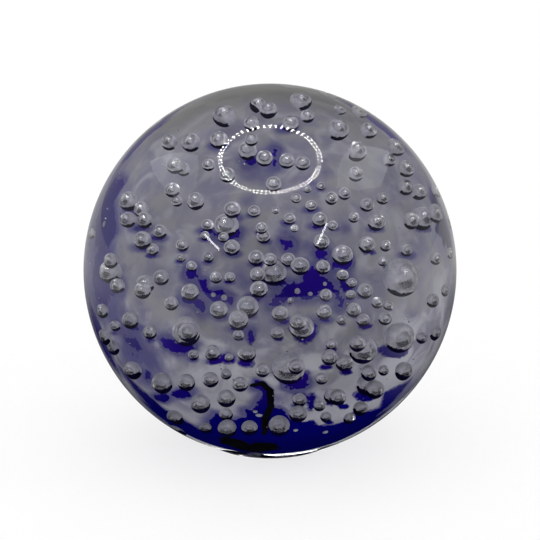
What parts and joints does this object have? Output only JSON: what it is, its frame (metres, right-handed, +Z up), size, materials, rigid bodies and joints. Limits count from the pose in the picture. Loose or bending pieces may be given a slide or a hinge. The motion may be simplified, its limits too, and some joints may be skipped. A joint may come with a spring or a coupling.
{
  "type": "paperweight",
  "caption": "Clear glass ball paperweight with air bubbles over a deep blue core and a torn grey-white veil, on a small ground foot.",
  "frame": {"origin": "middle of the ground foot, on the surface that the ball stands on", "axes": "+Z up through the ball's centre; the front, as laid out, faces -Y"},
  "size_m": [0.08, 0.08, 0.078],
  "materials": {
    "cobalt_glass": "dense deep blue, fire polished",
    "white_enamel": "smoky grey-white, opaque",
    "clear_glass": "clear, polished, full of air bubbles"
  },
  "bodies": {
    "root": {"blue_core": "cobalt_glass", "white_veil": "white_enamel", "veil_flecks": "white_enamel", "first_gather": "clear_glass", "outer_gather": "clear_glass"}
  },
  "joints": []
}
